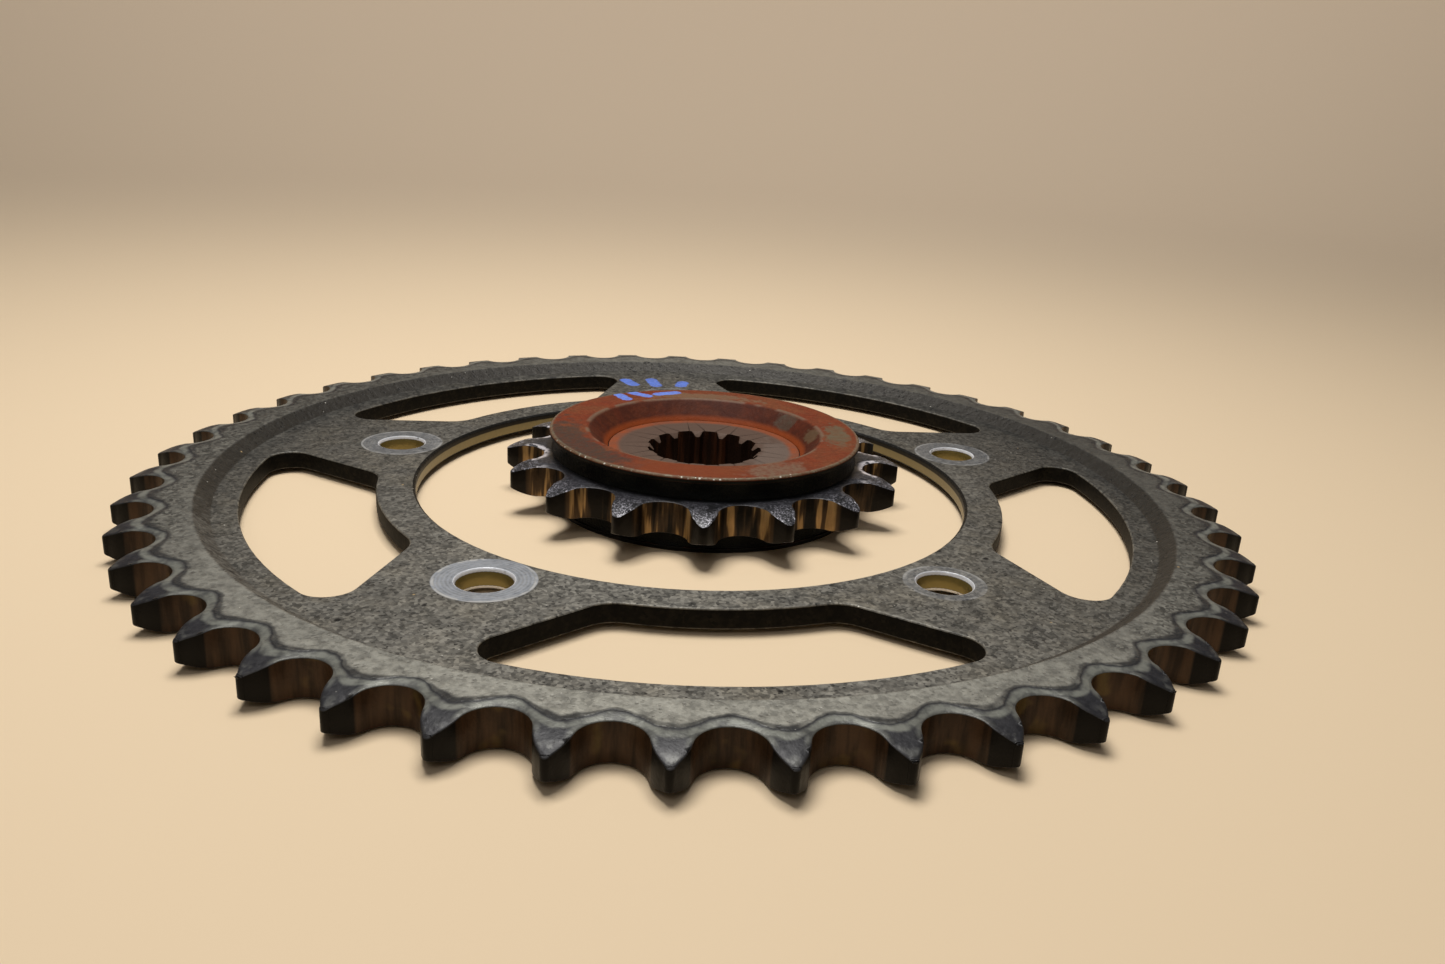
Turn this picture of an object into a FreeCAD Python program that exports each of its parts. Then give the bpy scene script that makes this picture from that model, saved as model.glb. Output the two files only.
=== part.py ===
"""Motorcycle chain sprocket set: a forty-five tooth wheel sprocket lying flat, with the sixteen
tooth output-shaft sprocket and its noise-damping cushions lying loose in the centre bore.

Frame: millimetres, +Z up, origin on the axis of the wheel sprocket at the plane it lies on.
The driving dimensions come first, then the helpers, then one function per physical piece.
"""
import os

import FreeCAD
import Part

from FreeCAD import Vector
from math import asin, cos, degrees, hypot, pi, radians, sin, sqrt, tan

# Chain: 5/8 in pitch, 5/16 in between the inner plates
PITCH = 15.875
SEAT_R = 5.2

# Wheel sprocket teeth and rim
REAR_TEETH = 45
REAR_TIP_R = 117.0
REAR_CORNER_R = 116.3
REAR_TIP_HALF_WIDTH = 0.8
REAR_SEAT_HALF_ANGLE = 75.0
REAR_TOOTH_PHASE = 5.6
RIM_THICKNESS = 7.2
RELIEF_START_R = 109.3
REAR_TIP_DROP = 1.9

# Wheel sprocket web: the thin centre disc, stepped down from the rim on both faces
BORE_R = 60.0
BORE_CHAMFER = 0.6
WEB_BOTTOM = 1.0
WEB_TOP = 5.0
STEP_FOOT_R = 99.0
STEP_TOP_R = 101.9
STEP_BOTTOM_R = 100.3

# Bolt holes
BOLT_COUNT = 5
BOLT_CIRCLE_R = 70.0
BOLT_HOLE_R = 5.0
BOLT_LEAD_IN = 0.3
BOLT_LEAD_IN_DEPTH = 0.8
BOLT_PHASE = 24.0

# Lightening windows, one midway between each pair of bolt holes
WINDOW_R_IN = 68.0
WINDOW_R_OUT = 94.0
WINDOW_HALF_ANGLE = 17.4
WINDOW_SIDE_ANGLE = 54.0
WINDOW_OUTER_FILLET = 5.0
WINDOW_INNER_FILLET = 7.0
WINDOW_EDGE_BREAK = 0.3

# Output-shaft sprocket teeth and disc; its axis is slightly off the bore axis
FRONT_X = 2.2
FRONT_Y = 2.4
FRONT_TEETH = 16
FRONT_TIP_R = 43.9
FRONT_CORNER_R = 43.5
FRONT_TIP_HALF_WIDTH = 0.95
FRONT_SEAT_HALF_ANGLE = 70.0
FRONT_TOOTH_PHASE = 0.5
DISC_BOTTOM = 4.0
DISC_TOP = 11.0
FRONT_RELIEF_START_R = 36.6
FRONT_TIP_DROP = 1.8

# Splined hub
HUB_R = 21.3
HUB_TOP = 11.5
SPLINE_COUNT = 13
SPLINE_MAJOR_R = 12.7
SPLINE_MINOR_R = 11.2
SPLINE_GROOVE_WIDTH = 2.9
SPLINE_FLANK_ANGLE = 25.0
SPLINE_CORNER_R = 0.6
SPLINE_PHASE = 1.0
SPLINE_LEAD_IN = 1.1

# Upper cushion ring and its dished steel plate
CUSHION_R = 33.9
CUSHION_WAIST = 0.45
PLATE_R = 34.3
PLATE_TOP = 15.8
PLATE_THICKNESS = 1.2
DISH_TOP_R = 25.9
DISH_FOOT_R = 21.45
DISH_FOOT_THICKNESS = 0.5
DISH_WALL_WIDTH = 1.45

# Lower cushion ring and its flat steel plate
LOWER_PLATE_THICKNESS = 1.0

# Shallow burnished relief where the rollers seat, on both faces of every gap
SEAT_RELIEF_WIDTH = 1.9
SEAT_RELIEF_DEPTH = 0.28

UP = Vector(0, 0, 1)
CENTRE = Vector(0, 0, 0)


def polar(radius, angle_deg, z=0.0):
    """Point at a radius and an angle in degrees."""
    angle = radians(angle_deg)
    return Vector(radius * cos(angle), radius * sin(angle), z)


def turned(point, angle_deg):
    """The point turned about +Z by an angle in degrees."""
    c, s = cos(radians(angle_deg)), sin(radians(angle_deg))
    return Vector(point.x * c - point.y * s, point.x * s + point.y * c, point.z)


def mirrored(point):
    """The point mirrored in the XZ plane."""
    return Vector(point.x, -point.y, point.z)


def revolved(profile):
    """Solid of revolution about +Z from (radius, z) corners, or (radius, z, radius, z) bulged sides.

    A four-number entry is the mid-point of an arc followed by the arc's far end.
    """
    edges = []
    first = Vector(profile[0][0], 0, profile[0][1])
    here = first
    for entry in profile[1:] + [profile[0]]:
        if len(entry) == 4:
            middle = Vector(entry[0], 0, entry[1])
            there = Vector(entry[2], 0, entry[3])
            edges.append(Part.Arc(here, middle, there).toShape())
        else:
            there = Vector(entry[0], 0, entry[1])
            edges.append(Part.makeLine(here, there))
        here = there
    return Part.Face(Part.Wire(edges)).revolve(CENTRE, UP, 360)


def pitch_radius(teeth):
    """Pitch circle radius for a number of teeth."""
    return PITCH / (2 * sin(pi / teeth))


def drop_beyond(tip_r, tip_drop, relief_start_r, radius):
    """How far the rounded relief of the teeth lies below the face at a radius past the tips."""
    return tip_drop * ((radius - relief_start_r) / (tip_r - relief_start_r)) ** 2


def gap_half(teeth, corner_r, tip_half_width, seat_half_angle):
    """Seat end, flank mid-point and tip corner on the +Y side of the gap that faces +X."""
    seat_angle = radians(seat_half_angle)
    pitch_r = pitch_radius(teeth)
    seat_end = Vector(pitch_r - SEAT_R * cos(seat_angle), SEAT_R * sin(seat_angle), 0)
    corner = polar(corner_r, 180 / teeth - degrees(asin(tip_half_width / corner_r)))
    chord = corner - seat_end
    seat_direction = Vector(sin(seat_angle), cos(seat_angle), 0)
    turn = seat_direction.getAngle(chord)
    bulge = Vector(chord.y, -chord.x, 0).normalize() * (chord.Length / 2 * tan(turn / 2))
    return seat_end, seat_end + chord * 0.5 + bulge, corner


def tooth_prism(teeth, tip_r, half, phase, z_low, z_high):
    """Prism with the outline of the teeth; half is half a gap and the phase is the angle of one tooth."""
    seat_end, flank_middle, corner = half
    seat_bottom = Vector(pitch_radius(teeth) - SEAT_R, 0, 0)
    step = 360 / teeth
    edges = []
    for index in range(teeth):
        angle = phase + (index + 0.5) * step

        def at(point):
            return turned(point, angle) + UP * z_low

        flank_start = at(mirrored(corner))
        edges.append(Part.Arc(flank_start, at(mirrored(flank_middle)), at(mirrored(seat_end))).toShape())
        edges.append(Part.Arc(at(mirrored(seat_end)), at(seat_bottom), at(seat_end)).toShape())
        edges.append(Part.Arc(at(seat_end), at(flank_middle), at(corner)).toShape())
        tip_middle = polar(tip_r, angle + step / 2, z_low)
        edges.append(Part.Arc(at(corner), tip_middle, turned(flank_start, step)).toShape())
    outline = Part.Wire(edges)
    return Part.Face(outline).extrude(UP * (z_high - z_low))


def seat_reliefs(teeth, phase, z_bottom, z_top):
    """Shallow cones that ease the edge of every roller seat on both faces."""
    cones = []
    wide = SEAT_R + SEAT_RELIEF_WIDTH
    for index in range(teeth):
        axis = polar(pitch_radius(teeth), phase + (index + 0.5) * 360 / teeth)
        upper = Part.makeCone(SEAT_R, wide, SEAT_RELIEF_DEPTH, axis + UP * (z_top - SEAT_RELIEF_DEPTH))
        lower = Part.makeCone(wide, SEAT_R, SEAT_RELIEF_DEPTH, axis + UP * z_bottom)
        cones += [upper, lower]
    return cones


def window_prism():
    """One lightening window, centred on +X, as a prism right through the web."""
    side = polar(1.0, WINDOW_SIDE_ANGLE)
    inner = polar(WINDOW_R_IN, WINDOW_HALF_ANGLE)
    along = inner.dot(side)
    reach = sqrt(along * along + WINDOW_R_OUT ** 2 - WINDOW_R_IN ** 2) - along
    outer = inner + side * reach
    edges = [
        Part.Arc(mirrored(inner), Vector(WINDOW_R_IN, 0, 0), inner).toShape(),
        Part.makeLine(inner, outer),
        Part.Arc(outer, Vector(WINDOW_R_OUT, 0, 0), mirrored(outer)).toShape(),
        Part.makeLine(mirrored(outer), mirrored(inner)),
    ]
    prism = Part.Face(Part.Wire(edges)).extrude(UP * (RIM_THICKNESS + 2))
    prism.translate(Vector(0, 0, -1))
    for radius, corner_r in ((WINDOW_OUTER_FILLET, WINDOW_R_OUT), (WINDOW_INNER_FILLET, WINDOW_R_IN)):
        corners = [edge for edge in prism.Edges if is_upright(edge) and abs(edge_radius(edge) - corner_r) < 1]
        prism = prism.makeFillet(radius, corners)
    return prism


def is_upright(edge):
    """True for a straight edge along Z."""
    low, high = edge.Vertexes[0].Point, edge.Vertexes[-1].Point
    return abs(high.z - low.z) > 1 and hypot(high.x - low.x, high.y - low.y) < 1e-6


def edge_radius(edge):
    """Distance of an edge's first vertex from the Z axis."""
    point = edge.Vertexes[0].Point
    return hypot(point.x, point.y)


def window_rims(body):
    """Edges where the windows break through the two faces of the web."""
    rims = []
    for edge in body.Edges:
        box = edge.BoundBox
        flat = box.ZLength < 1e-6 and min(abs(box.ZMin - WEB_TOP), abs(box.ZMin - WEB_BOTTOM)) < 1e-6
        radii = [hypot(vertex.X, vertex.Y) for vertex in edge.Vertexes]
        inside = all(WINDOW_R_IN - 0.5 < radius < WINDOW_R_OUT + 0.5 for radius in radii)
        if flat and inside and len(edge.Vertexes) == 2:
            rims.append(edge)
    return rims


def bolt_hole_tool(angle):
    """One bolt hole with a steep lead-in at each face of the web."""
    foot = polar(BOLT_CIRCLE_R, angle)
    hole = Part.makeCylinder(BOLT_HOLE_R, RIM_THICKNESS, foot)
    wide = BOLT_HOLE_R + BOLT_LEAD_IN
    depth = BOLT_LEAD_IN_DEPTH
    upper = Part.makeCone(BOLT_HOLE_R, wide, depth, foot + UP * (WEB_TOP - depth))
    lower = Part.makeCone(wide, BOLT_HOLE_R, depth, foot + UP * WEB_BOTTOM)
    return hole.multiFuse([upper, lower])


def rear_sprocket():
    """Wheel sprocket: one steel plate with teeth, stepped rim, windows, bolt holes and centre bore."""
    outer_r = REAR_TIP_R + 1
    drop = drop_beyond(REAR_TIP_R, REAR_TIP_DROP, RELIEF_START_R, outer_r)
    middle_r = (RELIEF_START_R + outer_r) / 2
    blank = revolved([
        (BORE_R + BORE_CHAMFER, WEB_BOTTOM),
        (STEP_FOOT_R, WEB_BOTTOM),
        (STEP_BOTTOM_R, 0),
        (RELIEF_START_R, 0),
        (middle_r, drop / 4, outer_r, drop),
        (outer_r, RIM_THICKNESS - drop),
        (middle_r, RIM_THICKNESS - drop / 4, RELIEF_START_R, RIM_THICKNESS),
        (STEP_TOP_R, RIM_THICKNESS),
        (STEP_FOOT_R, WEB_TOP),
        (BORE_R + BORE_CHAMFER, WEB_TOP),
        (BORE_R, WEB_TOP - BORE_CHAMFER),
        (BORE_R, WEB_BOTTOM + BORE_CHAMFER),
    ])
    pitch_angle = 360 / BOLT_COUNT
    prism = window_prism()
    cutters = []
    for index in range(BOLT_COUNT):
        angle = BOLT_PHASE + index * pitch_angle
        window = prism.copy()
        window.rotate(CENTRE, UP, angle + pitch_angle / 2)
        cutters += [window, bolt_hole_tool(angle)]
    body = blank.cut(cutters)
    body = body.makeChamfer(WINDOW_EDGE_BREAK, window_rims(body))
    half = gap_half(REAR_TEETH, REAR_CORNER_R, REAR_TIP_HALF_WIDTH, REAR_SEAT_HALF_ANGLE)
    teeth = tooth_prism(REAR_TEETH, REAR_TIP_R, half, REAR_TOOTH_PHASE, -1, RIM_THICKNESS + 1)
    body = body.common(teeth)
    return body.cut(seat_reliefs(REAR_TEETH, REAR_TOOTH_PHASE, 0, RIM_THICKNESS))


def spline_groove():
    """One spline groove facing +X, narrowing outwards, with rounded root corners."""
    start = SPLINE_MINOR_R - 2
    narrow = SPLINE_GROOVE_WIDTH / 2
    wide = narrow + (SPLINE_MAJOR_R - start) * tan(radians(SPLINE_FLANK_ANGLE))
    corners = [
        Vector(start, -wide, -1),
        Vector(SPLINE_MAJOR_R, -narrow, -1),
        Vector(SPLINE_MAJOR_R, narrow, -1),
        Vector(start, wide, -1),
    ]
    groove = Part.Face(Part.makePolygon(corners + corners[:1])).extrude(UP * (HUB_TOP + 2))
    roots = [edge for edge in groove.Edges if is_upright(edge) and edge.Vertexes[0].X > SPLINE_MAJOR_R - 0.1]
    return groove.makeFillet(SPLINE_CORNER_R, roots)


def front_sprocket():
    """Output-shaft sprocket: toothed disc and splined hub in one forging."""
    outer_r = FRONT_TIP_R + 1
    drop = drop_beyond(FRONT_TIP_R, FRONT_TIP_DROP, FRONT_RELIEF_START_R, outer_r)
    middle_r = (FRONT_RELIEF_START_R + outer_r) / 2
    blank = revolved([
        (0, 0),
        (HUB_R, 0),
        (HUB_R, DISC_BOTTOM),
        (FRONT_RELIEF_START_R, DISC_BOTTOM),
        (middle_r, DISC_BOTTOM + drop / 4, outer_r, DISC_BOTTOM + drop),
        (outer_r, DISC_TOP - drop),
        (middle_r, DISC_TOP - drop / 4, FRONT_RELIEF_START_R, DISC_TOP),
        (HUB_R, DISC_TOP),
        (HUB_R, HUB_TOP),
        (0, HUB_TOP),
    ])
    half = gap_half(FRONT_TEETH, FRONT_CORNER_R, FRONT_TIP_HALF_WIDTH, FRONT_SEAT_HALF_ANGLE)
    teeth = tooth_prism(FRONT_TEETH, FRONT_TIP_R, half, FRONT_TOOTH_PHASE, -1, HUB_TOP + 1)
    lead_in = SPLINE_MINOR_R + SPLINE_LEAD_IN
    cutters = seat_reliefs(FRONT_TEETH, FRONT_TOOTH_PHASE, DISC_BOTTOM, DISC_TOP)
    cutters += [
        Part.makeCylinder(SPLINE_MINOR_R, HUB_TOP + 2, Vector(0, 0, -1)),
        Part.makeCone(SPLINE_MINOR_R, lead_in, SPLINE_LEAD_IN, Vector(0, 0, HUB_TOP - SPLINE_LEAD_IN)),
        Part.makeCone(lead_in, SPLINE_MINOR_R, SPLINE_LEAD_IN, CENTRE),
    ]
    for index in range(SPLINE_COUNT):
        groove = spline_groove()
        groove.rotate(CENTRE, UP, SPLINE_PHASE + index * 360 / SPLINE_COUNT)
        cutters.append(groove)
    return blank.common(teeth).cut(cutters)


def upper_plate():
    """Dished steel plate over the upper cushion ring, with its rim edges eased."""
    plate_bottom = PLATE_TOP - PLATE_THICKNESS
    edge_break = 0.3
    return revolved([
        (DISH_FOOT_R, DISC_TOP),
        (DISH_FOOT_R + DISH_WALL_WIDTH, DISC_TOP),
        (DISH_TOP_R + 0.7, plate_bottom),
        (PLATE_R, plate_bottom),
        (PLATE_R, PLATE_TOP - edge_break),
        (PLATE_R - edge_break, PLATE_TOP),
        (DISH_TOP_R + 0.5, PLATE_TOP),
        (DISH_TOP_R, PLATE_TOP - 0.1, DISH_TOP_R - 0.45, PLATE_TOP - 0.4),
        (DISH_FOOT_R, DISC_TOP + DISH_FOOT_THICKNESS),
    ])


def upper_cushion():
    """Rubber ring between the toothed disc and the dished plate; the chain plates have waisted it."""
    plate_bottom = PLATE_TOP - PLATE_THICKNESS
    middle = (DISC_TOP + plate_bottom) / 2
    return revolved([
        (DISH_FOOT_R + DISH_WALL_WIDTH, DISC_TOP),
        (CUSHION_R, DISC_TOP),
        (CUSHION_R - CUSHION_WAIST, middle, CUSHION_R, plate_bottom),
        (DISH_TOP_R + 0.7, plate_bottom),
    ])


def lower_cushion():
    """Rubber ring under the toothed disc."""
    middle = (LOWER_PLATE_THICKNESS + DISC_BOTTOM) / 2
    return revolved([
        (HUB_R, LOWER_PLATE_THICKNESS),
        (CUSHION_R, LOWER_PLATE_THICKNESS),
        (CUSHION_R - CUSHION_WAIST, middle, CUSHION_R, DISC_BOTTOM),
        (HUB_R, DISC_BOTTOM),
    ])


def lower_plate():
    """Flat steel plate under the lower cushion ring, level with the hub's end."""
    edge_break = 0.3
    return revolved([
        (HUB_R, 0),
        (PLATE_R - edge_break, 0),
        (PLATE_R, edge_break),
        (PLATE_R, LOWER_PLATE_THICKNESS),
        (HUB_R, LOWER_PLATE_THICKNESS),
    ])


def main():
    """Build every piece in place and write one file per piece."""
    in_bore = Vector(FRONT_X, FRONT_Y, 0)
    pieces = {"rear_sprocket": rear_sprocket()}
    front = {
        "front_sprocket": front_sprocket(),
        "upper_cushion": upper_cushion(),
        "upper_plate": upper_plate(),
        "lower_cushion": lower_cushion(),
        "lower_plate": lower_plate(),
    }
    for node, shape in front.items():
        shape.translate(in_bore)
        pieces[node] = shape
    os.makedirs("parts", exist_ok=True)
    for node, shape in pieces.items():
        solid = shape.removeSplitter()
        print(node, "solids", len(solid.Solids), "valid", solid.isValid(), "volume", round(solid.Volume))
        solid.exportStep("parts/" + node + ".step")


main()
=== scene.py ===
"""Looks of the chain sprocket set: steel, rubber and rust finishes, eased edges, light and camera.

Everything is in metres in the frame of the CAD model; inside the materials, lengths are millimetres.
"""

from math import cos, pi, radians, sin

import bpy
from mathutils import Matrix, Vector

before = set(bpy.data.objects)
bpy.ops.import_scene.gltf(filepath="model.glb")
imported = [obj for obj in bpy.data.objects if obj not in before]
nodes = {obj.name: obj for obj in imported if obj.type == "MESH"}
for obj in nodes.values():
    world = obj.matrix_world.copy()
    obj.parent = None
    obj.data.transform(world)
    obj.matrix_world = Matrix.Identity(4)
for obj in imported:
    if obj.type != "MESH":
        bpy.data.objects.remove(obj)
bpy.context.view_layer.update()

# Dimensions the finishes follow, in millimetres and degrees; an _R is a radius
PITCH = 15.875
REAR_TEETH = 45
REAR_GAP_ANGLE = 9.6
FRONT_TEETH = 16
FRONT_GAP_ANGLE = 11.75
FRONT_AXIS = (2.2, 2.4)
BOLT_CIRCLE_R = 70.0
BOLT_HOLE_R = 5.0
BOLT_PHASE = 24.0
BOLT_STEP = 72.0
BORE_R = 60.0
HUB_R = 21.3
PLATE_R = 34.3
STEP_FOOT_R = 99.0
STEP_TOP_R = 101.9
# Strength and radius of the bright mark round each bolt hole, anticlockwise from the one at BOLT_PHASE
NUT_MARKS = ((0.22, 9.25), (0.1, 9.25), (0.28, 9.25), (0.8, 9.25), (0.2, 7.7))
# Circle that each flank of a wheel sprocket tooth follows, from the roller seat's axis
FLANK_CENTRE = (-3.21, 11.985)
FLANK_R = 7.207
# Plain paint dabs, each from one (radius, angle) to another
PLATE_DABS = (
    ((33.0, 130), (29.0, 131)),
    ((33.2, 123), (29.4, 119)),
    ((30.4, 113), (31.2, 104)),
)
REAR_DABS = (
    ((88.0, 104), (83.0, 103)),
    ((88.5, 99), (82.0, 98.5)),
    ((86.0, 93), (82.5, 93.5)),
)


# ---------------------------------------------------------------- node arithmetic

def linear(red, green, blue):
    """Linear colour with alpha from 0-255 display values."""
    channels = []
    for value in (red, green, blue):
        share = value / 255
        channels.append(share / 12.92 if share <= 0.04045 else ((share + 0.055) / 1.055) ** 2.4)
    return (*channels, 1.0)


class Field:
    """A number at each point of a surface; arithmetic on it adds Math nodes to its tree."""

    def __init__(self, tree, socket):
        self.tree = tree
        self.socket = socket

    def math(self, operation, *others):
        node = self.tree.nodes.new("ShaderNodeMath")
        node.operation = operation
        for slot, value in zip(node.inputs, (self, *others)):
            if isinstance(value, Field):
                self.tree.links.new(value.socket, slot)
            else:
                slot.default_value = value
        return Field(self.tree, node.outputs[0])

    def __add__(self, other):
        return self.math("ADD", other)

    def __sub__(self, other):
        return self.math("SUBTRACT", other)

    def __mul__(self, other):
        return self.math("MULTIPLY", other)

    def __truediv__(self, other):
        return self.math("DIVIDE", other)

    __radd__ = __add__
    __rmul__ = __mul__

    def inverse(self):
        """One minus the value."""
        return self.math("MULTIPLY_ADD", -1.0, 1.0)

    def root(self):
        return self.math("SQRT")

    def size(self):
        return self.math("ABSOLUTE")

    def sine(self):
        return self.math("SINE")

    def cosine(self):
        return self.math("COSINE")

    def lower(self, other):
        return self.math("MINIMUM", other)

    def upper(self, other):
        return self.math("MAXIMUM", other)

    def modulo(self, other):
        return self.math("FLOORED_MODULO", other)

    def whole(self):
        return self.math("FLOOR")

    def rise(self, low, high):
        """Smooth step from 0 at low to 1 at high."""
        node = self.tree.nodes.new("ShaderNodeMapRange")
        node.interpolation_type = "SMOOTHSTEP"
        self.tree.links.new(self.socket, node.inputs["Value"])
        for name, value in (("From Min", low), ("From Max", high)):
            if isinstance(value, Field):
                self.tree.links.new(value.socket, node.inputs[name])
            else:
                node.inputs[name].default_value = value
        return Field(self.tree, node.outputs[0])

    def fall(self, low, high):
        """Smooth step from 1 at low to 0 at high."""
        return self.rise(low, high).inverse()

    def band(self, low, high, soft):
        """1 between low and high, 0 outside, with soft edges of that width."""
        return self.rise(low - soft, low + soft) * self.fall(high - soft, high + soft)


class Finish:
    """One procedural material, painted coat over coat; the coordinates are millimetres in the CAD frame."""

    def __init__(self, name, axis=(0.0, 0.0)):
        self.material = bpy.data.materials.new(name)
        self.material.use_nodes = True
        self.tree = self.material.node_tree
        self.shader = next(n for n in self.tree.nodes if n.type == "BSDF_PRINCIPLED")
        coordinates = self.tree.nodes.new("ShaderNodeTexCoord")
        scaled = self.vector("SCALE", coordinates.outputs["Object"])
        scaled.inputs["Scale"].default_value = 1000
        centred = self.vector("SUBTRACT", scaled.outputs[0])
        centred.inputs[1].default_value = (axis[0], axis[1], 0)
        self.place = centred.outputs[0]
        self.x, self.y, self.z = self.parts(self.place)
        normal = self.parts(coordinates.outputs["Normal"])
        self.up = normal[2]
        self.upright = normal[2].size().fall(0.25, 0.6)
        self.r = (self.x * self.x + self.y * self.y).root()
        self.angle = self.y.math("ARCTAN2", self.x) * (180 / pi)
        self.height = None
        self.colour = None
        self.values = {}

    def vector(self, operation, socket):
        node = self.tree.nodes.new("ShaderNodeVectorMath")
        node.operation = operation
        self.tree.links.new(socket, node.inputs[0])
        return node

    def parts(self, socket):
        node = self.tree.nodes.new("ShaderNodeSeparateXYZ")
        self.tree.links.new(socket, node.inputs[0])
        return [Field(self.tree, output) for output in node.outputs]

    def joined(self, x, y, z):
        """Vector socket from three fields or numbers."""
        node = self.tree.nodes.new("ShaderNodeCombineXYZ")
        for slot, value in zip(node.inputs, (x, y, z)):
            if isinstance(value, Field):
                self.tree.links.new(value.socket, slot)
            else:
                slot.default_value = value
        return node.outputs[0]

    def noise(self, size, detail=3.0, rough=0.55, place=None, warp=0.0):
        """Noise from 0 to 1 with blotches of about that size in millimetres."""
        node = self.tree.nodes.new("ShaderNodeTexNoise")
        node.inputs["Scale"].default_value = 1 / size
        node.inputs["Detail"].default_value = detail
        node.inputs["Roughness"].default_value = rough
        node.inputs["Distortion"].default_value = warp
        self.tree.links.new(place or self.place, node.inputs["Vector"])
        return Field(self.tree, node.outputs[0])

    def grit(self, size, place=None):
        """Noise spread evenly from 0 to 1, with blotches of about that size in millimetres."""
        return self.noise(size, 3, 0.6, place).rise(0.32, 0.68)

    def grains(self, size, seed=0.0):
        """Angular grains about that many millimetres across, each with its own value from 0 to 1."""
        node = self.scattered(size, seed)
        channels = self.tree.nodes.new("ShaderNodeSeparateColor")
        self.tree.links.new(node.outputs["Color"], channels.inputs[0])
        return Field(self.tree, channels.outputs[1])

    def scattered(self, size, seed):
        """Voronoi node with its points about that many millimetres apart."""
        node = self.tree.nodes.new("ShaderNodeTexVoronoi")
        node.inputs["Scale"].default_value = 1 / size
        moved = self.vector("ADD", self.place)
        moved.inputs[1].default_value = (seed, seed * 0.7, seed * 0.3)
        self.tree.links.new(moved.outputs[0], node.inputs["Vector"])
        return node

    def specks(self, size, radius, share, seed=0.0):
        """Round specks: share is how many cells of that size hold one, radius is in cells."""
        node = self.scattered(size, seed)
        channels = self.tree.nodes.new("ShaderNodeSeparateColor")
        self.tree.links.new(node.outputs["Color"], channels.inputs[0])
        chosen = Field(self.tree, channels.outputs[0]).fall(share - 0.001, share + 0.001)
        reach = (Field(self.tree, channels.outputs[2]) * 0.6 + 0.5) * radius
        return Field(self.tree, node.outputs["Distance"]).fall(reach * 0.5, reach) * chosen

    def blotch(self, radius, angle, width, spread, ragged=0.6):
        """Soft-edged patch round a (radius, angle), of that half width and half angle."""
        turn = (self.angle + (180 - angle)).modulo(360.0) - 180.0
        across = (self.r - radius) / width
        along = turn / spread
        edge = (across * across + along * along).root() + (self.noise(width * 0.7, 3) - 0.5) * (2 * ragged)
        return edge.fall(0.65, 1.05)

    def coat(self, colour, roughness, metallic, mask=None, gloss=0.5):
        """Paints a colour, roughness, metallic and specular value where the mask is 1."""
        new = {"Roughness": roughness, "Metallic": metallic, "Specular IOR Level": gloss}
        if mask is None:
            self.colour = self.constant(colour)
            self.values = new
            return
        self.tint(colour, mask)
        for name, value in new.items():
            self.values[name] = self.mixed(self.values[name], value, mask)

    def mixed(self, old, new, mask):
        """Field that is the new number where the mask is 1 and the old number or field elsewhere."""
        node = self.tree.nodes.new("ShaderNodeMix")
        self.tree.links.new(mask.socket, node.inputs["Factor"])
        if isinstance(old, Field):
            self.tree.links.new(old.socket, node.inputs["A"])
        else:
            node.inputs["A"].default_value = old
        node.inputs["B"].default_value = new
        return Field(self.tree, node.outputs["Result"])

    def constant(self, colour):
        node = self.tree.nodes.new("ShaderNodeRGB")
        node.outputs[0].default_value = linear(*colour)
        return node.outputs[0]

    def tint(self, colour, mask):
        """Changes only the colour where the mask is 1."""
        node = self.tree.nodes.new("ShaderNodeMix")
        node.data_type = "RGBA"
        self.tree.links.new(mask.socket, node.inputs["Factor"])
        self.tree.links.new(self.colour, node.inputs["A"])
        node.inputs["B"].default_value = linear(*colour)
        self.colour = node.outputs["Result"]

    def shade(self, factor):
        """Multiplies the colour by a field."""
        node = self.vector("SCALE", self.colour)
        self.tree.links.new(factor.socket, node.inputs["Scale"])
        self.colour = node.outputs[0]

    def raise_by(self, amount):
        """Adds a field of surface height in millimetres."""
        self.height = amount if self.height is None else self.height + amount

    def apply(self, *objects):
        """Wires the coats to the shader and puts the material on the objects."""
        self.tree.links.new(self.colour, self.shader.inputs["Base Color"])
        for name, value in self.values.items():
            if isinstance(value, Field):
                self.tree.links.new(value.upper(0.0).socket, self.shader.inputs[name])
            else:
                self.shader.inputs[name].default_value = value
        if self.height is not None:
            bump = self.tree.nodes.new("ShaderNodeBump")
            bump.inputs["Distance"].default_value = 0.001
            bump.inputs["Strength"].default_value = 1.0
            self.tree.links.new(self.height.socket, bump.inputs["Height"])
            self.tree.links.new(bump.outputs[0], self.shader.inputs["Normal"])
        for piece in objects:
            piece.data.materials.clear()
            piece.data.materials.append(self.material)


def tooth_place(finish, teeth, gap_angle):
    """Fields of x and y from the nearest roller seat's axis, x outwards, and of the turn in pitches."""
    step = 360 / teeth
    turn = (finish.angle - (gap_angle - step / 2)).modulo(step) - step / 2
    angle = turn * (pi / 180)
    pitch_r = PITCH / (2 * sin(pi / teeth))
    return finish.r * angle.cosine() - pitch_r, (finish.r * angle.sine()).size(), turn.size() / step


def distance(x, y):
    """Field of the length of (x, y)."""
    return (x * x + y * y).root()


def bolt_distance(finish):
    """Fields of the distance to the nearest bolt hole's axis, and of that hole's number from 0 to 4."""
    step = BOLT_STEP
    turn = finish.angle - (BOLT_PHASE - step / 2)
    angle = (turn.modulo(step) - step / 2) * (pi / 180)
    dx = finish.r * angle.cosine() - BOLT_CIRCLE_R
    dy = finish.r * angle.sine()
    return (dx * dx + dy * dy).root(), (turn / step).whole().modulo(5.0)


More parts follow.
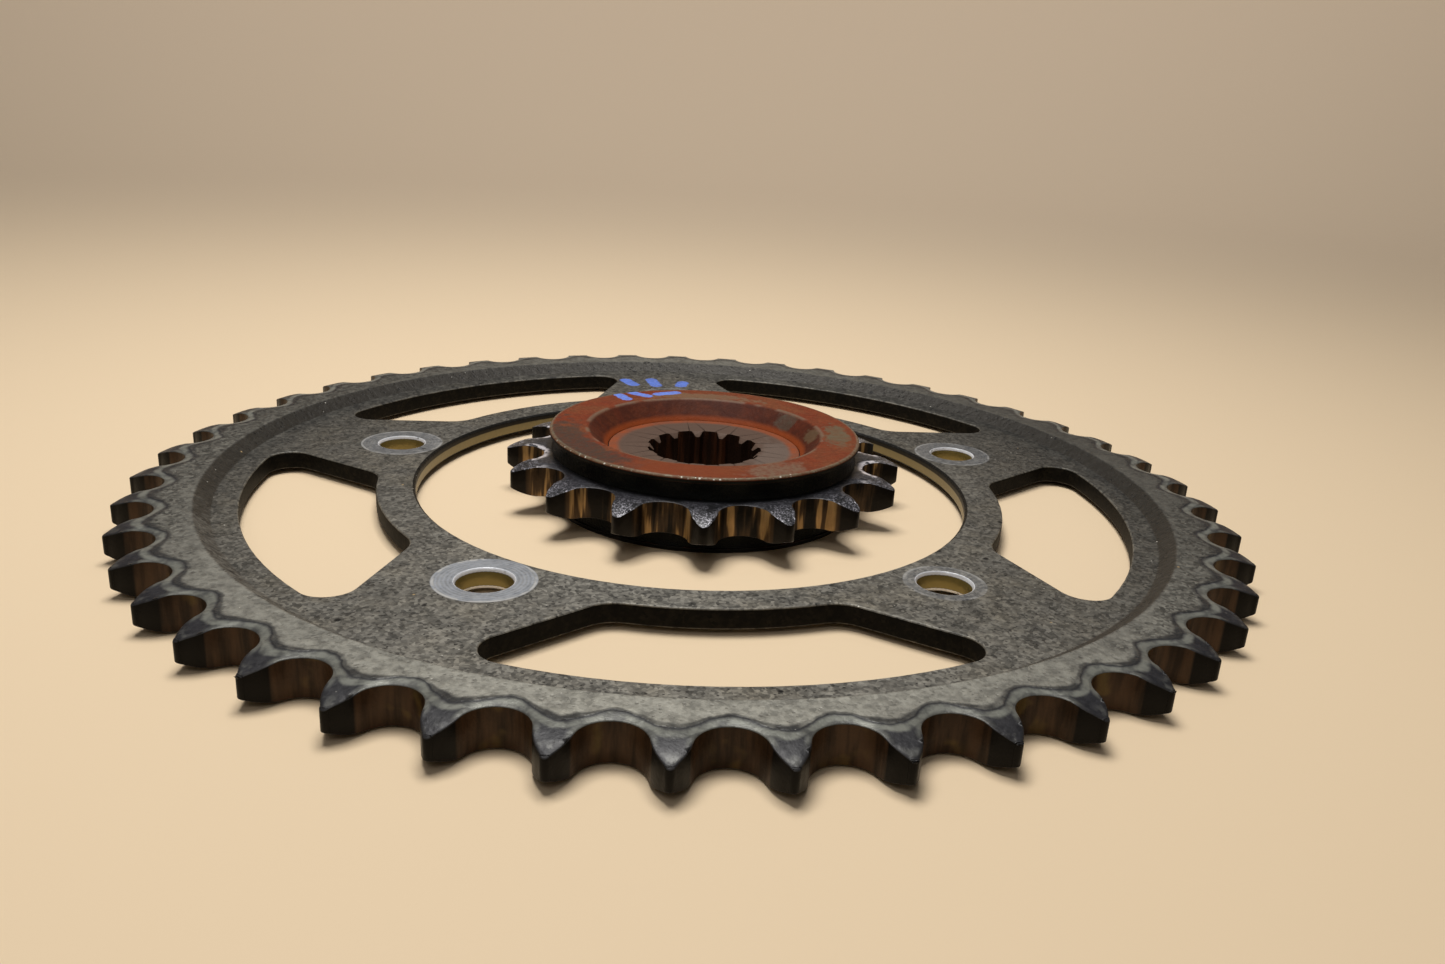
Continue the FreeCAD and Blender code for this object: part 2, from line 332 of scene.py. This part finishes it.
def dabs(finish, strokes, width):
    """1 within ragged strokes of that half width; a stroke runs between two (radius, angle) points."""
    ragged = (finish.noise(0.9, 3) - 0.5) * 0.9
    total = None
    for (r1, a1), (r2, a2) in strokes:
        start = Vector((r1 * cos(radians(a1)), r1 * sin(radians(a1))))
        run = Vector((r2 * cos(radians(a2)), r2 * sin(radians(a2)))) - start
        length = run.length
        run.normalize()
        dx, dy = finish.x - start.x, finish.y - start.y
        along = dx * run.x + dy * run.y
        across = (dy * run.x - dx * run.y).size()
        beyond = (along - along.upper(0.0).lower(length)).size()
        mask = ((across * across + beyond * beyond).root() + ragged).fall(width * 0.7, width)
        total = mask if total is None else total.upper(mask)
    return total * finish.up.rise(0.6, 0.9)


# ---------------------------------------------------------------- finishes

def rear_steel():
    """Dark pitted steel of the wheel sprocket with burnished seats, grease lines and bright nut marks."""
    f = Finish("rear_steel")
    flat = f.upright.inverse()
    wall = f.upright
    broad, patch, mottle, grain = f.grit(24), f.grit(7), f.grit(1.9), f.grains(0.62)
    seat_x, seat_y, share = tooth_place(f, REAR_TEETH, REAR_GAP_ANGLE)
    seat = distance(seat_x, seat_y)
    flank = distance(seat_x - FLANK_CENTRE[0], seat_y - FLANK_CENTRE[1])
    hole, index = bolt_distance(f)
    # painted shade: the colour darkens towards the right, the left and most of all the far side, standing in
    # for the fall of the light
    painted_light_falloff = f.x.upper(0.0) * -0.0034 + f.x.lower(0.0) * 0.0026 + f.x * f.x * -0.00003
    painted_light_falloff = (painted_light_falloff + f.y * -0.0012 + f.y.upper(0.0) * -0.0028 + 1.0).upper(0.2)

    # pitted web, a little browner in patches
    f.coat((122, 119, 112), 0.5, 0.2, None, 0.35)
    f.tint((106, 98, 82), patch * broad * 0.5)
    f.shade(grain * 0.72 + mottle * 0.26 + patch * 0.14 + 0.26)
    # rim: paler, scuffed, rougher on the left
    rim = f.r.rise(STEP_TOP_R - 0.2, STEP_TOP_R + 0.5) * flat
    f.coat((152, 150, 141), 0.48, 0.25, rim * (mottle * 0.35 + 0.65))
    f.shade(grain * 0.3 + mottle * 0.24 + patch * 0.2 + 0.62)
    # painted shade from the fall of the light, over web and rim alike
    f.shade(painted_light_falloff)
    rough = f.blotch(106, 172, 5, 46).upper(f.blotch(106, 335, 5, 26)) * rim
    f.shade((grain * 1.0 + 0.16 - 1.0) * rough * 0.75 + 1.0)
    # step between web and rim: smooth and dark
    step = f.r.band(STEP_FOOT_R - 0.1, STEP_TOP_R - 0.1, 0.25) * flat
    bare_step = f.blotch(100.5, 224, 4, 26) * -0.6 - mottle * 0.15 + 0.95
    f.coat((46, 42, 36), 0.45, 0.15, step * bare_step, 0.3)

    # contact zone of the chain plates: smooth, bounded by a wavy line of old grease
    wobble = (f.noise(3.5, 3) - 0.5) * 1.8
    edge = (share * (2 * pi)).cosine() * -1.9 + 108.0 + wobble
    inward = f.r - edge
    contact = inward.rise(-0.2, 0.3) * flat
    f.coat((34, 34, 41), 0.42, 0.15, contact * 0.95, 0.3)
    f.shade((grain * 0.26 + mottle * 0.3 + 0.72 - 1.0) * contact + 1.0)
    hem = seat.fall(5.7, 6.5) * seat_x.fall(-2.0, 0.6) * 0.6
    crossing = inward.band(0.6, 2.1, 0.45)
    worn_through = f.noise(2.4, 3).rise(0.3, 0.6) * 0.6 + 0.3
    f.coat((130, 131, 123), 0.42, 0.2, hem.upper(crossing) * contact * worn_through)
    tip = f.r.rise(113.6, 115.8) * f.noise(2.0, 2).rise(0.45, 0.62) * flat
    f.coat((112, 112, 108), 0.36, 0.35, tip * 0.5)
    root = share.rise(0.15, 0.42)
    line = inward.rise(root * -1.0 - 0.7, root * -0.5 - 0.2) * inward.fall(0.05, 0.5) * flat
    f.coat((30, 31, 35), 0.4, 0.1, line * (f.noise(4.5, 2).rise(0.3, 0.5) * 0.45 + root * 0.2 + 0.25), 0.3)
    worn = flank.rise(FLANK_R - 0.55, FLANK_R - 0.2) * seat_x.rise(-1.5, -0.9) * flat
    f.coat((42, 41, 43), 0.45, 0.2, worn * 0.85, 0.3)

    # bright marks that the nuts left round the bolt holes
    strength, reach = index * 0.0, index * 0.0
    for number, (value, radius) in enumerate(NUT_MARKS):
        chosen = (index - float(number)).size().fall(0.2, 0.5)
        strength = strength + chosen * value
        reach = reach + chosen * radius
    mark = (hole - reach).fall(-0.2, 0.1) * flat
    scoring = (hole * 9.0 + f.noise(1.8, 2) * 4.0).sine() * 0.5 + 0.5
    f.coat((186, 192, 203), 0.36, 0.35, mark * strength * (scoring * 0.3 + mottle * 0.2 + 0.45))
    rim_line = (hole - reach + 0.35).size().fall(0.1, 0.4) * flat * f.noise(3, 2).rise(0.4, 0.6)
    f.tint((214, 212, 208), rim_line * (strength * 0.6 + 0.2))

    # walls: windows and gaps near black with painted shade, gaps streaked brown and olive as a painted
    # reflection of a warm wooden bench, bore satin with a painted reflection of that bench, bolt holes yellow
    # dark oily steel of all the walls, painted near black as shade
    f.coat((13, 12, 10), 0.6, 0.0, wall, 0.08)
    f.tint((36, 32, 25), wall * mottle * grain * 0.8)
    streak = f.grit(1.8, f.joined(f.x, f.y, f.z * 0.12))
    gap_wall = wall * f.r.rise(104, 106)
    # gap walls painted near black as shade
    f.coat((12, 10, 8), 0.4, 0.0, gap_wall, 0.12)
    # painted reflection of a warm wooden bench: brown and olive streaks on the polished gap walls
    f.coat((78, 56, 37), 0.4, 0.3, gap_wall * (streak * 0.6 + 0.25) * seat.fall(5.25, 5.45), 0.3)
    olive_reflection = f.noise(5.0, 2).rise(0.52, 0.68) * seat_y.fall(2.0, 4.5)
    f.coat((104, 86, 46), 0.36, 0.4, gap_wall * seat.fall(5.25, 5.4) * olive_reflection * 0.6, 0.3)
    bore_wall = wall * f.r.fall(BORE_R + 0.6, BORE_R + 1.2)
    # painted reflection: the lower bore wall's greenish tan stands for a wooden bench mirrored in machined
    # steel
    f.coat((126, 116, 84), 0.4, 0.6, bore_wall * f.z.fall(3.4, 3.8))
    f.coat((30, 27, 22), 0.5, 0.1, bore_wall * f.z.rise(3.4, 3.8), 0.2)
    bore_edge = f.up.size().band(0.3, 0.9, 0.05) * f.r.fall(BORE_R + 0.8, BORE_R + 1.2)
    f.coat((20, 18, 15), 0.5, 0.1, bore_edge, 0.2)
    f.coat((132, 118, 68), 0.34, 0.5, hole.fall(BOLT_HOLE_R + 0.01, BOLT_HOLE_R + 0.04))
    # painted highlight: the chamfer round each bolt hole is painted near white
    f.coat((240, 242, 248), 0.3, 0.2, hole.band(BOLT_HOLE_R + 0.05, BOLT_HOLE_R + 0.42, 0.03), 0.8)
    windows = f.r.band(BORE_R + 1.4, STEP_FOOT_R - 1.5, 0.2) * hole.rise(BOLT_HOLE_R + 1.1, BOLT_HOLE_R + 1.3)
    f.tint((140, 136, 126), f.up.band(0.35, 0.93, 0.04) * windows * mottle * 0.5)

    # pits, grit and scratches on the open faces
    clean = (contact * 0.75).upper(mark * strength).inverse() * flat
    dents = f.specks(1.15, 0.36, 0.6, 11) * clean
    f.tint((26, 24, 21), dents * (rim * -0.5 + 0.85))
    f.tint((14, 13, 12), f.specks(2.3, 0.19, 0.6, 31) * clean * (rim * -0.75 + 1.0))
    f.tint((12, 11, 10), f.specks(7.0, 0.11, 0.45, 71) * clean * (rim * -0.75 + 1.0))
    f.tint((212, 208, 198), f.specks(1.6, 0.13, 0.4, 57) * clean * f.noise(12, 2).rise(0.5, 0.64))
    f.tint((176, 150, 110), f.specks(9.0, 0.05, 0.5, 83) * flat)
    f.coat((96, 132, 232), 0.45, 0.0, dabs(f, REAR_DABS, 2.0) * (mottle * 0.3 + 0.65))
    f.raise_by(dents * -0.06)
    f.raise_by((grain * 0.03 + mottle * 0.06) * clean + patch * 0.03)
    f.raise_by(f.grit(0.7) * 0.015)
    return f


def front_steel():
    """Oil-stained steel of the output sprocket: sparkling tooth faces, streaked gaps, tan hub face."""
    f = Finish("front_steel", FRONT_AXIS)
    flat = f.upright.inverse()
    wall = f.upright
    patch, mottle, spark = f.grit(4), f.grit(1.2), f.grains(0.24)
    seat_x, seat_y, share = tooth_place(f, FRONT_TEETH, FRONT_GAP_ANGLE)
    seat = distance(seat_x, seat_y)

    # tooth faces: dark oil film with bare steel showing through as sparkle, most of it towards the tips
    f.coat((38, 38, 43), 0.36, 0.2)
    bare = spark.rise(0.5, 1.0) * (f.r.rise(35.5, 41.5) * 0.85 + 0.15) * flat
    f.coat((180, 178, 188), 0.34, 0.2, bare * (mottle * 0.4 + 0.4))
    f.shade((spark * 0.7 + 0.6 - 1.0) * flat + 1.0)
    f.coat((18, 18, 19), 0.3, 0.1, f.noise(3.2, 3).rise(0.56, 0.66) * f.r.rise(33, 34) * flat * 0.7, 0.3)
    # painted shadow: a black ring on the tooth faces round the foot of the plate
    f.coat((12, 12, 12), 0.3, 0.0, f.r.band(PLATE_R - 0.8, PLATE_R + 0.6, 0.5) * flat * 0.8, 0.3)
    # painted highlight: the rubbed roots at the two sides painted bright, where they catch the light
    highlight_sides = f.blotch(38, 176, 5, 34, 0.3).upper(f.blotch(38, 4, 5, 34, 0.3))
    rubbed_root_highlight = seat.fall(6.0, 6.9) * f.r.fall(38.5, 40) * flat * highlight_sides
    f.coat((226, 220, 224), 0.3, 0.3, rubbed_root_highlight * f.noise(1.5, 2).rise(0.4, 0.52))
    f.coat((96, 94, 96), 0.34, 0.3, seat.fall(5.3, 5.7) * flat * patch * 0.5)
    # tooth gaps: golden and brown streaks are a painted reflection of a warm wooden bench in the
    # roller-polished walls, black between
    streak = f.noise(2.8, 3, 0.55, f.joined(f.x, f.y, f.z * 0.1))
    smear = f.noise(0.8, 3, 0.6, f.joined(f.x, f.y, f.z * 0.2))
    f.coat((18, 14, 10), 0.4, 0.1, wall, 0.15)
    brown_reflection = streak.rise(0.4, 0.52) * seat.fall(5.5, 6.0) * (smear * 0.6 + 0.4)
    f.coat((84, 64, 42), 0.36, 0.4, wall * brown_reflection, 0.3)
    golden_reflection = streak.rise(0.51, 0.57) * seat.fall(5.25, 5.5) * (smear * 0.7 + 0.35)
    f.coat((204, 164, 108), 0.34, 0.4, wall * golden_reflection * 0.9, 0.4)

    # hub face and spline
    hub = f.r.fall(HUB_R - 0.1, HUB_R + 0.1) * flat
    ring = (f.r * 2.2 + mottle * 0.4).sine() * 0.5 + 0.5
    f.coat((99, 80, 69), 0.55, 0.15, hub, 0.2)
    f.tint((92, 72, 62), hub * ring * 0.25)
    f.tint((122, 108, 99), hub * f.blotch(16.5, 345, 4, 50) * 0.5)
    f.coat((146, 72, 36), 0.65, 0.0, f.r.band(19.3, 21.8, 0.8) * hub * (patch * 0.4 + 0.55), 0.2)
    bore = f.r.fall(13.15, 13.25) * f.up.fall(0.4, 0.55)
    f.coat((28, 16, 11), 0.6, 0.0, bore, 0.05)
    f.tint((72, 42, 27), bore * streak.rise(0.46, 0.6) * 0.6)
    f.raise_by(spark * 0.012 * flat + mottle * 0.03)
    return f


def cushion_rubber():
    """Oily black rubber with a little grit stuck to it."""
    f = Finish("cushion_rubber", FRONT_AXIS)
    patch, mottle, grain = f.grit(3.5), f.grit(1.1), f.grit(0.3)
    f.coat((5, 5, 5), 0.5, 0.0, None, 0.15)
    f.tint((16, 20, 16), patch * 0.8)
    f.tint((46, 48, 42), f.specks(1.3, 0.14, 0.2) * 0.8)
    f.tint((110, 100, 84), f.specks(3.1, 0.05, 0.3, 17))
    f.raise_by(grain * 0.05 + mottle * 0.09 + patch * 0.08)
    return f


def rusted_plate():
    """Dished steel plate with a film of orange rust, worn grey in patches, and plain blue paint dabs."""
    f = Finish("rusted_plate", FRONT_AXIS)
    broad, patch, mottle, grain = f.grit(9), f.grit(2.8), f.grit(1.0), f.grains(0.3)
    f.coat((122, 52, 26), 0.65, 0.0, None, 0.15)
    f.tint((104, 44, 26), patch * 0.5)
    f.tint((120, 78, 48), broad * 0.5)
    f.shade(grain * 0.22 + mottle * 0.24 + 0.72)
    top = f.up.rise(0.85, 0.97)
    # rust worn through on the lip: grey brown at the left, olive at the right, tan in front
    f.coat((60, 48, 39), 0.5, 0.15, f.blotch(31.2, 212, 4.6, 40, 0.9) * top * (mottle * 0.4 + 0.55), 0.3)
    f.coat((100, 92, 70), 0.5, 0.2, f.blotch(29.8, 0, 3.0, 17, 1.2) * top * (patch * 0.4 + 0.45), 0.3)
    f.coat((118, 96, 76), 0.45, 0.2, f.blotch(30.6, 299, 4.6, 15, 0.9) * top * (mottle * 0.5 + 0.35))
    f.coat((122, 100, 76), 0.5, 0.2, f.blotch(28.5, 92, 2.6, 34, 0.8) * top * 0.6, 0.3)
    f.tint((122, 56, 26), f.blotch(30.5, 262, 6, 26, 0.4) * top * 0.7)
    # dish wall: darker, worn grey at its upper edge and in two patches, orange at its foot
    dish = f.r.fall(25.4, 26.2)
    f.coat((72, 33, 21), 0.6, 0.0, dish * (patch * 0.3 + 0.68), 0.12)
    f.coat((80, 68, 55), 0.5, 0.15, f.blotch(24.2, 38, 2.4, 8, 0.7) * dish * (mottle * 0.3 + 0.55), 0.3)
    f.coat((100, 80, 56), 0.5, 0.1, f.blotch(24.4, 8, 1.6, 9, 0.5) * dish * 0.7, 0.3)
    crest = f.r.band(25.7, 26.5, 0.4) * f.noise(6, 2).rise(0.42, 0.56)
    f.coat((116, 98, 78), 0.45, 0.2, crest * 0.7)
    f.tint((150, 70, 30), f.r.fall(21.9, 22.9) * 0.75)
    # worn pale line round the rim's edge, and the oily wall under it
    lip = f.r.rise(PLATE_R - 0.9, PLATE_R - 0.4) * f.up.rise(0.2, 0.5)
    f.coat((120, 112, 90), 0.42, 0.2, lip * (mottle * 0.5 + grain * 0.3 + 0.2))
    f.tint((226, 222, 210), f.specks(0.7, 0.4, 0.5, 41) * lip * f.blotch(34, 255, 3, 60, 0.2))
    f.tint((30, 30, 26), f.specks(1.0, 0.34, 0.45, 5) * f.r.rise(PLATE_R - 1.9, PLATE_R - 0.9) * top * 0.8)
    rim_wall = f.upright * f.r.rise(PLATE_R - 0.3, PLATE_R - 0.1) * f.z.fall(15.2, 15.5)
    f.coat((14, 17, 13), 0.5, 0.0, rim_wall, 0.15)
    f.coat((104, 142, 240), 0.45, 0.0, dabs(f, PLATE_DABS, 1.5) * (mottle * 0.35 + 0.7))
    f.raise_by(grain * 0.015 + mottle * 0.03 + patch * 0.04)
    return f


def plate_steel():
    """Dull oily steel of the lower plate with light rust, painted very dark as the shade under the sprocket.
    """
    f = Finish("plate_steel", FRONT_AXIS)
    patch, grain = f.grit(5), f.grit(0.5)
    f.coat((40, 37, 33), 0.5, 0.2)
    f.shade(grain * 0.5 + 0.72)
    f.coat((78, 48, 32), 0.65, 0.1, patch.rise(0.6, 0.95) * 0.7)
    # walls painted near black as the shade under the sprocket
    f.coat((7, 7, 6), 0.5, 0.0, f.upright, 0.1)
    f.raise_by(grain * 0.03 + patch * 0.04)
    return f


# ---------------------------------------------------------------- stage

# Angle in degrees that the studio floor has curved up by at its edge
FLOOR_EDGE_ANGLE = 62
# Widths in metres that sharp edges are rounded by
EDGE_WIDTH = 0.0002
SPLINED_EDGE_WIDTH = 0.00008
EDGE_ANGLE = 28
WORLD_COLOUR = (214, 212, 210)
WORLD_STRENGTH = 0.09
FLOOR_COLOUR = (238, 214, 180)

def area_light(name, place, aim, size_x, size_y, power, colour=(1, 1, 1)):
    """Soft rectangular light at a place, aimed at a point."""
    data = bpy.data.lights.new(name, "AREA")
    data.shape = "RECTANGLE"
    data.size, data.size_y = size_x, size_y
    data.energy = power
    data.color = colour
    light = bpy.data.objects.new(name, data)
    light.location = place
    light.rotation_euler = (Vector(aim) - Vector(place)).to_track_quat("-Z", "Y").to_euler()
    bpy.context.scene.collection.objects.link(light)


def studio_floor():
    """Plain pale round floor that curves up a little at its edge."""
    flat_r, bend_r, rings = 0.8, 0.9, 32
    profile = [(0.0, 0.0), (flat_r, 0.0)]
    for number in range(1, rings + 1):
        a = radians(FLOOR_EDGE_ANGLE) * (number / rings) ** 1.8
        profile.append((flat_r + bend_r * sin(a), bend_r * (1 - cos(a))))
    segments = 96
    points, faces = [], []
    for radius, height in profile[1:]:
        for number in range(segments):
            a = 2 * pi * number / segments
            points.append((radius * cos(a), radius * sin(a), height))
    faces.append(tuple(range(segments)))
    for ring in range(len(profile) - 2):
        for number in range(segments):
            a, b = ring * segments + number, ring * segments + (number + 1) % segments
            faces.append((a, b, b + segments, a + segments))
    mesh = bpy.data.meshes.new("studio_floor")
    mesh.from_pydata(points, [], faces)
    for face in mesh.polygons:
        face.use_smooth = face.index > 0
    floor = bpy.data.objects.new("studio_floor", mesh)
    bpy.context.scene.collection.objects.link(floor)
    material = bpy.data.materials.new("studio_floor")
    material.use_nodes = True
    shader = next(n for n in material.node_tree.nodes if n.type == "BSDF_PRINCIPLED")
    shader.inputs["Base Color"].default_value = linear(*FLOOR_COLOUR)
    shader.inputs["Roughness"].default_value = 0.7
    mesh.materials.append(material)


def camera():
    """Camera low in front of the set and a little to the right of its axis, tilted down and rolled."""
    pan, tilt, roll = 0.0260, 0.3307, 0.0598
    forward = Vector((sin(pan) * cos(tilt), cos(pan) * cos(tilt), -sin(tilt)))
    right = Vector((cos(pan), -sin(pan), 0))
    up = right.cross(forward)
    across = right * cos(roll) + up * sin(roll)
    upward = up * cos(roll) - right * sin(roll)
    data = bpy.data.cameras.new("camera")
    data.sensor_width = 36
    data.lens = 28.604
    item = bpy.data.objects.new("camera", data)
    turn = Matrix((across, upward, -forward)).transposed().to_4x4()
    item.matrix_world = Matrix.Translation((0.00037, -0.24334, 0.08786)) @ turn
    bpy.context.scene.collection.objects.link(item)
    bpy.context.scene.camera = item


def ease_edges(piece, width):
    """Rounds the piece's sharp edges by a small width in metres."""
    weld = piece.modifiers.new("weld", "WELD")
    weld.merge_threshold = 1e-6
    bevel = piece.modifiers.new("ease", "BEVEL")
    bevel.width = width
    bevel.segments = 2
    bevel.limit_method = "ANGLE"
    bevel.angle_limit = radians(EDGE_ANGLE)
    bevel.use_clamp_overlap = False


rear_steel().apply(nodes["rear_sprocket"])
front_steel().apply(nodes["front_sprocket"])
cushion_rubber().apply(nodes["upper_cushion"], nodes["lower_cushion"])
rusted_plate().apply(nodes["upper_plate"])
plate_steel().apply(nodes["lower_plate"])
for node in nodes.values():
    ease_edges(node, SPLINED_EDGE_WIDTH if node is nodes["front_sprocket"] else EDGE_WIDTH)

studio_floor()
area_light("overhead", (-0.05, 0.035, 0.54), (-0.02, 0.0, 0.0), 0.28, 0.24, 2.8, (1.0, 0.98, 0.94))
area_light("front", (-0.12, -0.55, 0.62), (0.0, -0.15, 0.0), 0.5, 0.3, 0.55, (1.0, 0.98, 0.95))
area_light("backdrop", (0.0, 0.7, 1.0), (0.0, 1.6, 0.25), 1.6, 0.6, 7.2, (0.98, 0.99, 1.07))
world = bpy.data.worlds.new("studio")
world.use_nodes = True
background = world.node_tree.nodes["Background"]
background.inputs[0].default_value = linear(*WORLD_COLOUR)
background.inputs[1].default_value = WORLD_STRENGTH
bpy.context.scene.world = world
bpy.context.scene.view_settings.view_transform = "Standard"
camera()
